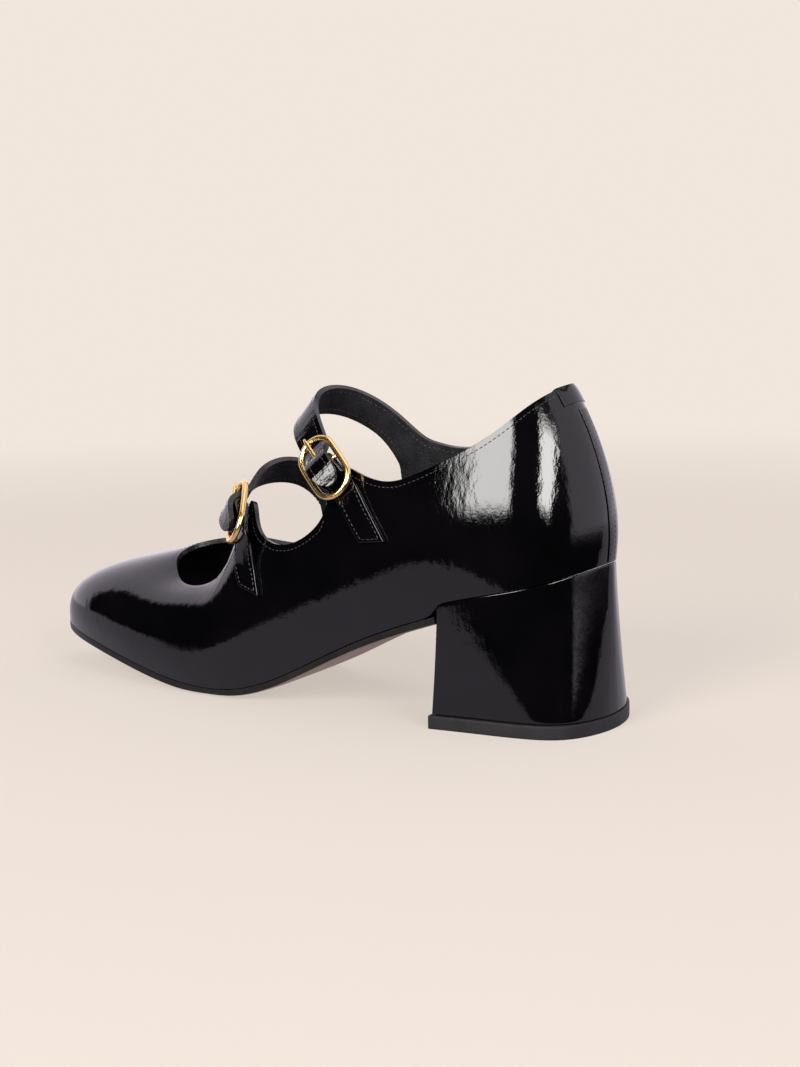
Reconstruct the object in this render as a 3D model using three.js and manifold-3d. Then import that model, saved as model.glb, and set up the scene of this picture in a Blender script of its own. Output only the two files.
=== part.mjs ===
// Left shoe: a two-strap mary jane with a round toe and a flared block heel.
// Millimetres, +X to the toe, +Y to the outer side of the foot, +Z up.
// The shoe is laid out from the back of the heel seat, and the finished group is moved so that the
// bottom centre of its box is the origin.
import * as THREE from "three";
import { mergeVertices } from "three/addons/utils/BufferGeometryUtils.js";
import Module from "manifold-3d";

const wasm = await Module();
wasm.setup();

// Driving sizes
const gap = 0.3; // clearance between neighbouring pieces
const wall = 1.8; // upper leather and lining together
const toeTip = 240.6;
const heelBack = 3;
const breastTop = 52.6; // front face of the heel block at the seat
const breastFoot = 55.2; // and at the floor
const soleThickness = 2.8;
const liftThickness = 4.6;
const strapWidth = 11.6;
const chapeWidth = 9.2;
const strapThickness = 2; // two layers
const chapeThickness = 1.4; // strip that holds the buckle
const wireRadius = 1.1; // buckle frame
const barRadius = 1; // buckle's middle bar
const prongRadius = 0.7;
const columnCount = 104; // mesh columns round the upper
const rowCount = 11; // mesh rows from sole to topline

// ---------------------------------------------------------------------------------- curves

// Cubic spline through the rows of a table; periodic when a period is given.
function spline(xs, ys, period) {
  const n = xs.length;
  const wrap = Boolean(period);
  const count = wrap ? n : n - 1;
  const step = (i) => (wrap && i === n - 1 ? xs[0] + period - xs[n - 1] : xs[i + 1] - xs[i]);
  const rise = (i) => (ys[(i + 1) % n] - ys[i]) / step(i);
  const rows = [];
  for (let i = 0; i < n; i++) {
    const row = new Array(n + 1).fill(0);
    if (!wrap && (i === 0 || i === n - 1)) {
      row[i] = 1;
    } else {
      const before = (i - 1 + n) % n;
      row[before] += step(before);
      row[i] += 2 * (step(before) + step(i));
      row[(i + 1) % n] += step(i);
      row[n] = 6 * (rise(i) - rise(before));
    }
    rows.push(row);
  }
  for (let i = 0; i < n; i++) {
    for (let k = i + 1; k < n; k++) {
      const f = rows[k][i] / rows[i][i];
      if (f) for (let j = i; j <= n; j++) rows[k][j] -= f * rows[i][j];
    }
  }
  const bend = new Array(n).fill(0);
  for (let i = n - 1; i >= 0; i--) {
    let sum = rows[i][n];
    for (let j = i + 1; j < n; j++) sum -= rows[i][j] * bend[j];
    bend[i] = sum / rows[i][i];
  }
  return (x) => {
    const turned = xs[0] + (((x - xs[0]) % period) + period) % period;
    const at = wrap ? turned : Math.min(Math.max(x, xs[0]), xs[n - 1]);
    let i = 0;
    while (i < count - 1 && at > xs[i] + step(i)) i++;
    const h = step(i);
    const b = (at - xs[i]) / h;
    const a = 1 - b;
    const next = (i + 1) % n;
    return a * ys[i] + b * ys[next] + ((a ** 3 - a) * bend[i] + (b ** 3 - b) * bend[next]) * h * h / 6;
  };
}

const column = (table, name) => table.map((row) => row[name]);
const along = (table, from, to) => spline(column(table, from), column(table, to));
const mix = (a, b, f) => a + (b - a) * f;
const clamp = (x, low, high) => Math.min(Math.max(x, low), high);

// ---------------------------------------------------------------------------------- last

// Feather edge, where upper meets sole: its outer and inner sides in plan.
const feather = [
  { x: heelBack, outer: 0, inner: 0 },
  { x: 7, outer: 12.2, inner: -12.2 },
  { x: 20, outer: 23.6, inner: -23.6 },
  { x: 40, outer: 27.4, inner: -27.2 },
  { x: 62, outer: 27.4, inner: -27 },
  { x: 90, outer: 26.4, inner: -25.6 },
  { x: 115, outer: 25.4, inner: -29.5 },
  { x: 140, outer: 25.6, inner: -41 },
  { x: 162, outer: 24.4, inner: -46.6 },
  { x: 184, outer: 20.8, inner: -44.8 },
  { x: 206, outer: 14.8, inner: -38.8 },
  { x: 225, outer: 6.8, inner: -30 },
  { x: toeTip, outer: -12, inner: -12 },
];
const featherX = column(feather, "x");
const middleAt = spline(featherX, feather.map((row) => (row.outer + row.inner) / 2));
const squareAt = spline(featherX, feather.map((row) => ((row.outer - row.inner) / 2) ** 2));
const halfWidthAt = (x) => Math.sqrt(Math.max(squareAt(x), 0));

// The feather edge as a closed curve, from the back round the outer side: plan points and their arc length.
const outlineSteps = 720;
const outline = [];
for (let i = 0; i <= outlineSteps; i++) {
  const turn = (2 * Math.PI * i) / outlineSteps;
  const x = heelBack + ((toeTip - heelBack) * (1 - Math.cos(turn))) / 2;
  const side = turn <= Math.PI ? 1 : -1;
  const y = middleAt(x) + side * halfWidthAt(x);
  const last = outline[i - 1];
  outline.push({ x, y, s: last ? last.s + Math.hypot(x - last.x, y - last.y) : 0 });
}
const girth = outline[outlineSteps].s;

function outlineAt(s) {
  const at = ((s % girth) + girth) % girth;
  let low = 0;
  let high = outlineSteps;
  while (high - low > 1) {
    const mid = (low + high) >> 1;
    if (outline[mid].s <= at) low = mid;
    else high = mid;
  }
  const f = (at - outline[low].s) / (outline[high].s - outline[low].s);
  return { x: mix(outline[low].x, outline[high].x, f), y: mix(outline[low].y, outline[high].y, f) };
}

// Arc length of the outline at a station x on one side.
function arcAt(x, side) {
  const half = outlineSteps / 2;
  const points = side > 0 ? outline.slice(0, half + 1) : outline.slice(half).reverse();
  let i = 1;
  while (i < half && points[i].x < x) i++;
  const f = clamp((x - points[i - 1].x) / (points[i].x - points[i - 1].x || 1), 0, 1);
  return mix(points[i - 1].s, points[i].s, f);
}

const riseScale = 60; // a rib's usual length

// Height of the feather line along the foot, and of the heel seat where the block laps over it.
const soleLine = [
  { x: heelBack, z: 52.2 },
  { x: 22, z: 46.2 },
  { x: 40, z: 41.2 },
  { x: 56, z: 36.4 },
  { x: 75, z: 29.8 },
  { x: 95, z: 21 },
  { x: 112, z: 12.5 },
  { x: 127, z: 6.2 },
  { x: 140, z: 3.3 },
  { x: 156, z: 3 },
  { x: 172, z: 5 },
  { x: 190, z: 8.4 },
  { x: 214, z: 12.8 },
  { x: toeTip, z: 16.4 },
];
const soleLineAt = along(soleLine, "x", "z");
const seatLine = [
  { x: heelBack, z: 53.9 },
  { x: 12, z: 50.8 },
  { x: 24, z: 47.7 },
  { x: 36, z: 45.2 },
  { x: breastTop, z: 41.4 },
];
const seatLineAt = along(seatLine, "x", "z");

// Ribs of the last: where each starts on the feather edge, its top on the guide line above the topline,
// how far it swells outwards a third and two thirds of the way up, and how high those points are.
const ribs = [
  { foot: heelBack, side: 1, x: 16.4, y: 0, z: 112.2, low: 5.2, high: 4.9, lowRise: 0.33, highRise: 0.67 },
  { foot: 8, side: 1, x: 21.6, y: 12, z: 108.8, low: 4.8, high: 4.4, lowRise: 0.33, highRise: 0.67 },
  { foot: 20, side: 1, x: 28, y: 19, z: 103.6, low: 4.2, high: 3.9, lowRise: 0.33, highRise: 0.67 },
  { foot: 40, side: 1, x: 43, y: 24.2, z: 94.5, low: 3.4, high: 3, lowRise: 0.33, highRise: 0.67 },
  { foot: 62, side: 1, x: 64, y: 25.6, z: 89, low: 3, high: 2.8, lowRise: 0.33, highRise: 0.67 },
  { foot: 86, side: 1, x: 88, y: 22.6, z: 88, low: 3.4, high: 3.2, lowRise: 0.33, highRise: 0.67 },
  { foot: 110, side: 1, x: 111, y: 18.2, z: 83, low: 4.6, high: 4.2, lowRise: 0.33, highRise: 0.67 },
  { foot: 130, side: 1, x: 132, y: 14.8, z: 73, low: 5.6, high: 5, lowRise: 0.34, highRise: 0.68 },
  { foot: 150, side: 1, x: 146, y: 12, z: 49, low: 5.8, high: 5, lowRise: 0.4, highRise: 0.76 },
  { foot: 170, side: 1, x: 160, y: 7, z: 39.6, low: 6, high: 5, lowRise: 0.5, highRise: 0.83 },
  { foot: 190, side: 1, x: 170, y: 3, z: 38.4, low: 6.4, high: 5, lowRise: 0.56, highRise: 0.86 },
  { foot: 212, side: 1, x: 176, y: -1, z: 41, low: 7.4, high: 5.2, lowRise: 0.58, highRise: 0.86 },
  { foot: 231, side: 1, x: 179.5, y: -4.5, z: 43.8, low: 8.8, high: 5.8, lowRise: 0.59, highRise: 0.86 },
  { foot: toeTip, side: 1, x: 180.5, y: -8, z: 46, low: 9.6, high: 6.2, lowRise: 0.585, highRise: 0.855 },
  { foot: 231, side: -1, x: 180, y: -11.5, z: 47.6, low: 9.2, high: 6.2, lowRise: 0.59, highRise: 0.86 },
  { foot: 212, side: -1, x: 176.5, y: -15.5, z: 49.2, low: 8.4, high: 6.2, lowRise: 0.57, highRise: 0.86 },
  { foot: 190, side: -1, x: 169.5, y: -19.5, z: 51, low: 7.6, high: 6.2, lowRise: 0.54, highRise: 0.84 },
  { foot: 170, side: -1, x: 160, y: -22, z: 54, low: 7.2, high: 6.2, lowRise: 0.47, highRise: 0.79 },
  { foot: 150, side: -1, x: 147, y: -22.6, z: 61, low: 6.6, high: 6.2, lowRise: 0.4, highRise: 0.74 },
  { foot: 130, side: -1, x: 131.5, y: -21, z: 73, low: 5.6, high: 5.4, lowRise: 0.35, highRise: 0.69 },
  { foot: 110, side: -1, x: 111, y: -20.8, z: 83, low: 4.8, high: 4.6, lowRise: 0.33, highRise: 0.67 },
  { foot: 86, side: -1, x: 88, y: -22.8, z: 90.5, low: 3.6, high: 3.6, lowRise: 0.33, highRise: 0.67 },
  { foot: 62, side: -1, x: 64, y: -25, z: 91.5, low: 3, high: 2.8, lowRise: 0.33, highRise: 0.67 },
  { foot: 40, side: -1, x: 43, y: -23.8, z: 96.5, low: 3.4, high: 3, lowRise: 0.33, highRise: 0.67 },
  { foot: 20, side: -1, x: 28, y: -18.8, z: 104, low: 4.2, high: 3.9, lowRise: 0.33, highRise: 0.67 },
  { foot: 8, side: -1, x: 21.6, y: -12, z: 109, low: 4.8, high: 4.4, lowRise: 0.33, highRise: 0.67 },
];
const ribArcs = ribs.map((rib, i) => (i === 0 ? 0 : arcAt(rib.foot, rib.side)));
const ribAt = {};
for (const name of ["x", "y", "z", "low", "high", "lowRise", "highRise"]) {
  ribAt[name] = spline(ribArcs, column(ribs, name), girth);
}

// Cubic through four values at 0, 1/3, 2/3 and 1.
function throughThirds(a, b, c, d, v) {
  const p = 3 * v;
  return (
    (-a * (p - 1) * (p - 2) * (p - 3)) / 6 +
    (b * p * (p - 2) * (p - 3)) / 2 -
    (c * p * (p - 1) * (p - 3)) / 2 +
    (d * p * (p - 1) * (p - 2)) / 6
  );
}

// Outer face of the upper: s runs round the feather edge, v from the feather edge to the guide line.
function lastPoint(s, v) {
  const foot = outlineAt(s);
  const before = outlineAt(s - 1);
  const after = outlineAt(s + 1);
  const out = new THREE.Vector2(after.y - before.y, before.x - after.x).normalize().negate();
  const top = { x: ribAt.x(s), y: ribAt.y(s), z: ribAt.z(s) };
  const base = soleLineAt(foot.x);
  const low = ribAt.low(s);
  const high = ribAt.high(s);
  const plan = (from, to, push) => [
    from,
    mix(from, to, 1 / 3) + push * low,
    mix(from, to, 2 / 3) + push * high,
    to,
  ];
  const [x0, x1, x2, x3] = plan(foot.x, top.x, out.x);
  const [y0, y1, y2, y3] = plan(foot.y, top.y, out.y);
  return new THREE.Vector3(
    throughThirds(x0, x1, x2, x3, v),
    throughThirds(y0, y1, y2, y3, v),
    throughThirds(base, mix(base, top.z, ribAt.lowRise(s)), mix(base, top.z, ribAt.highRise(s)), top.z, v),
  );
}

// Outward direction of the last's surface.
const lastNormal = (s, v) => {
  const ds = lastPoint(s + 0.25, v).sub(lastPoint(s - 0.25, v));
  const dv = lastPoint(s, v + 0.004).sub(lastPoint(s, v - 0.004));
  return dv.cross(ds).normalize();
};

// The place on the last that has two given coordinates, found by Newton's steps from a guess.
function placeOn(target, s, v) {
  const keys = Object.keys(target);
  const miss = (a, b) => {
    const p = lastPoint(a, b);
    return keys.map((key) => p[key] - target[key]);
  };
  for (let i = 0; i < 30; i++) {
    const [f, g] = miss(s, v);
    const [fs, gs] = miss(s + 0.1, v).map((m, k) => (m - [f, g][k]) / 0.1);
    const [fv, gv] = miss(s, v + 0.001).map((m, k) => (m - [f, g][k]) / 0.001);
    const det = fs * gv - fv * gs;
    s -= clamp((f * gv - fv * g) / det, -6, 6);
    v -= clamp((fs * g - f * gs) / det, -0.1, 0.1);
  }
  return { s, v };
}

// ---------------------------------------------------------------------------------- topline

// Topline of the outer quarter: collar, rear ear, dip between the straps and front ear.
const outerTopline = [
  { x: 18.6, z: 110.3 },
  { x: 27, z: 103 },
  { x: 35, z: 96.4 },
  { x: 44, z: 91 },
  { x: 53, z: 86.8 },
  { x: 61, z: 83.3 },
  { x: 69, z: 80.9 },
  { x: 76, z: 81.3 },
  { x: 84, z: 83.3 },
  { x: 90, z: 85.6 },
  { x: 94.2, z: 84.2 },
  { x: 95.2, z: 77.5 },
  { x: 95.8, z: 70.5 },
  { x: 99, z: 65 },
  { x: 105, z: 60.2 },
  { x: 112.5, z: 57.1 },
  { x: 119.8, z: 57.2 },
  { x: 126, z: 60.2 },
  { x: 129.2, z: 64.8 },
  { x: 131.4, z: 69.4 },
  { x: 134.6, z: 71 },
  { x: 137.4, z: 68.4 },
  { x: 138.2, z: 61 },
  { x: 138.6, z: 53.4 },
];
// Topline of the inner quarter: the vamp edge climbs into the front strap, dips, and climbs into the rear.
const innerTopline = [
  { x: 155, z: 47.6 },
  { x: 146, z: 46.8 },
  { x: 138, z: 48.8 },
  { x: 132, z: 53 },
  { x: 129.4, z: 58.6 },
  { x: 129.4, z: 64.2 },
  { x: 131, z: 68.5 },
  { x: 125.8, z: 71.8 },
  { x: 120.3, z: 74.2 },
  { x: 117.2, z: 69.2 },
  { x: 112.5, z: 65.4 },
  { x: 106, z: 63.8 },
  { x: 99.5, z: 66 },
  { x: 94.6, z: 72 },
  { x: 93.8, z: 79 },
  { x: 96, z: 84.6 },
  { x: 89.8, z: 87 },
  { x: 83.4, z: 90 },
  { x: 77, z: 88 },
  { x: 70, z: 87.2 },
  { x: 62, z: 88 },
  { x: 53, z: 90.4 },
  { x: 44, z: 94 },
  { x: 35, z: 98.6 },
  { x: 27, z: 103.8 },
  { x: 18.6, z: 110.5 },
];
// Vamp opening in plan: a blunt half oval about the middle of the forefoot.
const throat = { back: 138, front: 184.2, middleBack: -6.4, middleFront: -8.6, halfWidth: 24.5, blunt: 1.2 };
const throatTurns = [72, 56, 40, 24, 8, -8, -24, -40, -54];

const topline = [];
for (const row of outerTopline) topline.push(placeOn({ x: row.x, z: row.z }, arcAt(row.x, 1), 0.85));
for (const degrees of throatTurns) {
  const turn = THREE.MathUtils.degToRad(degrees);
  const x = mix(throat.back, throat.front, Math.cos(turn));
  const middle = mix(throat.middleBack, throat.middleFront, Math.cos(turn));
  const y = middle + Math.sign(turn) * throat.halfWidth * Math.abs(Math.sin(turn)) ** throat.blunt;
  const last = topline[topline.length - 1];
  topline.push(placeOn({ x, y }, last.s + 6, 0.8));
}
for (const row of innerTopline) topline.push(placeOn({ x: row.x, z: row.z }, arcAt(row.x, -1), 0.85));
topline.push(placeOn({ y: 0, z: 111.5 }, girth, 0.98));

// A smooth closed curve through the topline's places; heights are scaled so that both ways measure alike.
const toplineCurve = new THREE.CatmullRomCurve3(
  topline.map((place) => new THREE.Vector3(place.s, place.v * riseScale, 0)).concat(
    new THREE.Vector3(topline[0].s + girth, topline[0].v * riseScale, 0)),
  false, "centripetal");

const toplineSamples = [];
const toplineSteps = 1200;
for (let i = 0; i <= toplineSteps; i++) {
  const point = toplineCurve.getPoint(i / toplineSteps);
  const place = { s: point.x, v: point.y / riseScale };
  const spot = lastPoint(place.s, place.v);
  const before = toplineSamples[i - 1];
  toplineSamples.push({ ...place, spot, length: before ? before.length + before.spot.distanceTo(spot) : 0 });
}

// Columns of the upper's mesh: even round the foot, and shared at the top between the foot's
// spacing and the topline's own length, so that the ears get columns of their own.
const toplineLength = toplineSamples[toplineSteps].length;
const topShare = 0.7;
const topMeasure = toplineSamples.map((sample) =>
  topShare * (sample.length / toplineLength) + (1 - topShare) * ((sample.s - toplineSamples[0].s) / girth));
const topStart = toplineSamples[0].s / girth;

function topPlace(fraction) {
  const wanted = fraction - topStart;
  const turned = wanted < 0 ? wanted + 1 : wanted;
  let i = 1;
  while (i < toplineSteps && topMeasure[i] < turned) i++;
  const f = (turned - topMeasure[i - 1]) / (topMeasure[i] - topMeasure[i - 1]);
  const shift = wanted < 0 ? -girth : 0;
  return {
    s: mix(toplineSamples[i - 1].s, toplineSamples[i].s, f) + shift,
    v: mix(toplineSamples[i - 1].v, toplineSamples[i].v, f),
  };
}

// ---------------------------------------------------------------------------------- upper

// Height of the upper's foot: over the heel block it is on the seat, and it steps down to the sole
// line just in front of the breast.
const stepStart = breastTop + 0.4;
const stepEnd = breastTop + 1.4;
const footHeight = (x) => {
  const step = clamp((x - stepStart) / (stepEnd - stepStart), 0, 1);
  return mix(seatLineAt(x), soleLineAt(x), step) + gap;
};

function footRise(s) {
  let v = 0;
  for (let i = 0; i < 40; i++) {
    const point = lastPoint(s, v);
    v += (footHeight(point.x) - point.z) / riseScale;
  }
  return v;
}

function upperGeometry() {
  const feet = [];
  for (let j = 0; j < columnCount; j++) feet.push((girth * j) / columnCount);
  for (const side of [1, -1]) {
    const nearest = Math.round((arcAt(breastTop, side) / girth) * columnCount);
    feet[nearest] = arcAt(breastTop, side);
    feet[nearest + side] = arcAt(stepEnd, side);
  }
  const outerRows = [];
  const innerRows = [];
  feet.forEach((s, j) => {
    const top = topPlace(j / columnCount);
    const bottom = footRise(s);
    const outer = [];
    const inner = [];
    for (let i = 0; i <= rowCount; i++) {
      const f = i / rowCount;
      const place = { s: mix(s, top.s, f), v: mix(bottom, top.v, f) };
      const point = lastPoint(place.s, place.v);
      const back = lastNormal(place.s, place.v).multiplyScalar(-wall);
      if (i === 0) back.setZ(0).setLength(wall);
      outer.push(point);
      inner.push(point.clone().add(back));
    }
    outerRows.push(outer);
    innerRows.push(inner);
  });
  const loops = innerRows.map((inner, j) => inner.concat([...outerRows[j]].reverse()));
  return ringGeometry(loops);
}

// ---------------------------------------------------------------------------------- meshes

function meshGeometry(points, faces) {
  const geometry = new THREE.BufferGeometry();
  const numbers = points.flatMap((p) => [p.x, p.y, p.z]);
  geometry.setAttribute("position", new THREE.Float32BufferAttribute(numbers, 3));
  geometry.setIndex(faces.flat());
  return geometry;
}

// Closed ring of closed profiles, such as a wall that goes all the way round.
function ringGeometry(loops) {
  const size = loops[0].length;
  const faces = [];
  for (let j = 0; j < loops.length; j++) {
    const next = (j + 1) % loops.length;
    for (let i = 0; i < size; i++) {
      const up = (i + 1) % size;
      const [a, b, c, d] = [j * size + i, next * size + i, next * size + up, j * size + up];
      faces.push([a, b, c], [a, c, d]);
    }
  }
  return meshGeometry(loops.flat(), faces);
}

// Row of closed profiles with a cap at each end; a cap joins each point to its mirror on the other side.
function loftGeometry(loops) {
  const size = loops[0].length;
  const faces = [];
  for (let j = 0; j < loops.length - 1; j++) {
    for (let i = 0; i < size; i++) {
      const up = (i + 1) % size;
      const [a, b, c, d] = [j * size + i, (j + 1) * size + i, (j + 1) * size + up, j * size + up];
      faces.push([a, b, c], [a, c, d]);
    }
  }
  const end = (loops.length - 1) * size;
  for (let i = 0; i < size / 2 - 1; i++) {
    const far = size - 1 - i;
    faces.push([i, i + 1, far - 1], [i, far - 1, far]);
    faces.push([end + i, end + far - 1, end + i + 1], [end + i, end + far, end + far - 1]);
  }
  return meshGeometry(loops.flat(), faces.filter(([a, b, c]) => a !== b && b !== c && a !== c));
}

// Booleans, on closed meshes with shared vertices merged.
function solidOf(geometry) {
  const merged = mergeVertices(geometry.clone().deleteAttribute("normal").deleteAttribute("uv"), 1e-4);
  return new wasm.Manifold(new wasm.Mesh({
    numProp: 3,
    vertProperties: merged.attributes.position.array,
    triVerts: new Uint32Array(merged.index.array),
  }));
}

function geometryOf(solid) {
  const mesh = solid.getMesh();
  const geometry = new THREE.BufferGeometry();
  geometry.setAttribute("position", new THREE.Float32BufferAttribute(mesh.vertProperties, mesh.numProp));
  geometry.setIndex(Array.from(mesh.triVerts));
  return geometry;
}

const joined = (a, b) => geometryOf(wasm.Manifold.union(solidOf(a), solidOf(b)));
const cut = (a, b) => geometryOf(wasm.Manifold.difference(solidOf(a), solidOf(b)));

// Round bar along a path of points, with flat square to the path; closed makes it a ring.
function rodGeometry(path, radii, flat, closed) {
  const sides = 10;
  const count = path.length;
  const loops = path.map((point, i) => {
    const before = path[closed ? (i - 1 + count) % count : Math.max(i - 1, 0)];
    const after = path[closed ? (i + 1) % count : Math.min(i + 1, count - 1)];
    const way = after.clone().sub(before).normalize();
    const side = new THREE.Vector3().crossVectors(way, flat).normalize();
    const up = new THREE.Vector3().crossVectors(side, way);
    const loop = [];
    for (let k = 0; k < sides; k++) {
      const turn = (2 * Math.PI * (k + 0.5)) / sides;
      loop.push(point.clone()
        .addScaledVector(up, radii[i] * Math.sin(turn))
        .addScaledVector(side, radii[i] * Math.cos(turn)));
    }
    return loop;
  });
  return closed ? ringGeometry(loops) : loftGeometry(loops);
}

// ---------------------------------------------------------------------------------- sole

// Stations along the foot, closer together towards a round end.
const stations = (from, to, count, roundBack) => {
  const list = [];
  for (let i = 0; i <= count; i++) {
    const f = i / count;
    list.push(mix(from, to, roundBack ? (1 - Math.cos(Math.PI * f)) / 2 : Math.sin((Math.PI * f) / 2)));
  }
  return list;
};

function outsoleGeometry() {
  const treadInset = 3.5;
  const edgeLift = 0.9;
  const loops = stations(breastTop + 0.9, toeTip - 0.15, 38, false).map((x) => {
    const half = halfWidthAt(x);
    const middle = middleAt(x);
    const inset = Math.min(treadInset, half * 0.4);
    const top = soleLineAt(x);
    const bottom = Math.max(top - soleThickness - 0.5, 0);
    return [
      new THREE.Vector3(x, middle + half, top),
      new THREE.Vector3(x, middle + half, bottom + edgeLift),
      new THREE.Vector3(x, middle + half - inset, bottom),
      new THREE.Vector3(x, middle - half + inset, bottom),
      new THREE.Vector3(x, middle - half, bottom + edgeLift),
      new THREE.Vector3(x, middle - half, top),
    ];
  });
  return loftGeometry(loops);
}

// Foot bed inside the upper, on the heel seat and the outsole.
const footBed = [
  { x: 6, z: 55.6 },
  { x: 24, z: 50.2 },
  { x: 42, z: 46.2 },
  { x: 60, z: 39.6 },
  { x: 78, z: 32 },
  { x: 98, z: 22.6 },
  { x: 116, z: 13.8 },
  { x: 132, z: 7.8 },
  { x: 148, z: 5.6 },
  { x: 168, z: 6.8 },
  { x: 192, z: 11.2 },
  { x: 216, z: 15.6 },
  { x: 240, z: 18.6 },
];

function insoleGeometry() {
  const bedAt = along(footBed, "x", "z");
  const inset = wall + gap;
  const edgeRound = 0.8;
  const lean = 1.1; // the wall leans in over the bed
  const endLength = 12; // round ends of the bed
  const endInset = inset + 1.8;
  const places = stations(heelBack + endInset, toeTip - endInset, 42, true).concat(stepStart, stepEnd);
  const loops = places.sort((a, b) => a - b).map((x) => {
    const toEnd = Math.min(x - heelBack, toeTip - x);
    const taper = 1 - 0.1 * clamp((endLength - toEnd) / endLength, 0, 1);
    const half = Math.max(halfWidthAt(x) - inset - lean, 0.5) * taper;
    const middle = middleAt(x);
    const bottom = footHeight(x) + 0.1;
    const top = Math.max(bedAt(x), bottom + 1.4);
    return [
      new THREE.Vector3(x, middle + half - edgeRound, top),
      new THREE.Vector3(x, middle + half, top - edgeRound),
      new THREE.Vector3(x, middle + half, bottom),
      new THREE.Vector3(x, middle - half, bottom),
      new THREE.Vector3(x, middle - half, top - edgeRound),
      new THREE.Vector3(x, middle - half + edgeRound, top),
    ];
  });
  return loftGeometry(loops);
}

// ---------------------------------------------------------------------------------- heel

// Plan of the top lift, from the back to the breast.
const liftPlan = [
  { x: 0, half: 0 },
  { x: 4, half: 17.5 },
  { x: 9, half: 24.1 },
  { x: 18.4, half: 28.1 },
  { x: 36, half: 29.5 },
  { x: breastFoot, half: 30.5 },
];
const liftSquareAt = spline(column(liftPlan, "x"), liftPlan.map((row) => row.half ** 2));
const liftHalfAt = (x) => Math.sqrt(Math.max(liftSquareAt(x), 0));
const heelSide = 22; // points from the breast round to the back

// One level of the heel: 0 at the seat, 1 at the top lift, with the sides flaring as they go down.
function heelLoop(level) {
  const flare = level ** 1.35;
  const proud = 0.7; // of the feather edge
  const seatBack = heelBack - proud;
  const seatBreast = breastTop - gap;
  const inset = 1; // of the top lift's edge
  const backHalf = 0.4; // narrowest place, at the back
  const outer = [];
  for (let i = 0; i <= heelSide; i++) {
    const f = (1 + Math.cos((Math.PI * i) / heelSide)) / 2;
    const seatX = mix(seatBack, seatBreast, f);
    const liftX = mix(inset * 0.7, breastFoot - inset, f);
    const atBack = i === heelSide;
    const seatHalf = atBack ? backHalf : halfWidthAt(Math.max(seatX, heelBack + 0.05)) + proud;
    const liftEdge = liftHalfAt(Math.max(liftX - inset * 0.5, 0)) - inset;
    const liftHalf = atBack ? backHalf : Math.max(liftEdge, backHalf);
    const x = mix(seatX, liftX, flare);
    const seatZ = seatLineAt(seatX);
    outer.push(new THREE.Vector3(x, mix(seatHalf, liftHalf, flare), mix(seatZ, liftThickness + gap, level)));
  }
  return outer.concat([...outer].reverse().map((p) => new THREE.Vector3(p.x, -p.y, p.z)));
}

function heelBlockGeometry() {
  const levels = 10;
  const loops = [];
  for (let k = 0; k <= levels; k++) loops.push(heelLoop(k / levels));
  return loftGeometry(loops);
}

function topLiftGeometry() {
  const side = [];
  for (let i = 0; i <= heelSide; i++) {
    const x = mix(0, breastFoot, (1 + Math.cos((Math.PI * i) / heelSide)) / 2);
    side.push(new THREE.Vector2(x, Math.max(liftHalfAt(x), 0.3)));
  }
  const loop = side.concat([...side].reverse().map((p) => new THREE.Vector2(p.x, -p.y)));
  const at = (z) => loop.map((p) => new THREE.Vector3(p.x, p.y, z));
  return loftGeometry([at(liftThickness), at(0)]);
}

// ---------------------------------------------------------------------------------- straps and buckles

// The two buckles: centre, the way the long side runs down the strap, and the way the front faces.
const buckles = {
  front: {
    x: 137.3, y: 19, z: 66.6,
    downX: -0.346, downY: 0.683, downZ: -0.644,
    faceX: 0.66, faceY: 0.665, faceZ: 0.351,
  },
  rear: {
    x: 95.6, y: 25.9, z: 84.6,
    downX: -0.72, downY: 0.348, downZ: -0.607,
    faceX: 0.11, faceY: 0.91, faceZ: 0.4,
  },
};
const frameHalfLength = 12;
const frameHalfWidth = 6.8;

// Directions of a buckle: up the strap, across to the back, and out.
function buckleAxes(buckle) {
  const up = new THREE.Vector3(-buckle.downX, -buckle.downY, -buckle.downZ).normalize();
  const out = new THREE.Vector3(buckle.faceX, buckle.faceY, buckle.faceZ);
  const across = up.clone().cross(out).normalize();
  return { up, across, out: across.clone().cross(up) };
}

function buckleFrame(buckle) {
  const axes = buckleAxes(buckle);
  const centre = new THREE.Vector3(buckle.x, buckle.y, buckle.z);
  const at = (up, across, out) => centre.clone()
    .addScaledVector(axes.up, up).addScaledVector(axes.across, across).addScaledVector(axes.out, out);
  return { ...axes, at };
}

// Pill-shaped ring of wire with the bar across its middle.
function frameGeometry(buckle) {
  const frame = buckleFrame(buckle);
  const straight = frameHalfLength - frameHalfWidth;
  const turns = 12;
  const path = [];
  for (const end of [1, -1]) {
    for (let i = 0; i <= turns; i++) {
      const turn = Math.PI * (i / turns - 0.5);
      const up = end * (straight + frameHalfWidth * Math.cos(turn));
      path.push(frame.at(up, end * frameHalfWidth * Math.sin(turn), 0));
    }
  }
  const ring = rodGeometry(path, path.map(() => wireRadius), frame.out, true);
  const ends = [frame.at(0, -frameHalfWidth, 0), frame.at(0, frameHalfWidth, 0)];
  return joined(ring, rodGeometry(ends, [barRadius, barRadius], frame.out, false));
}

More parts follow.
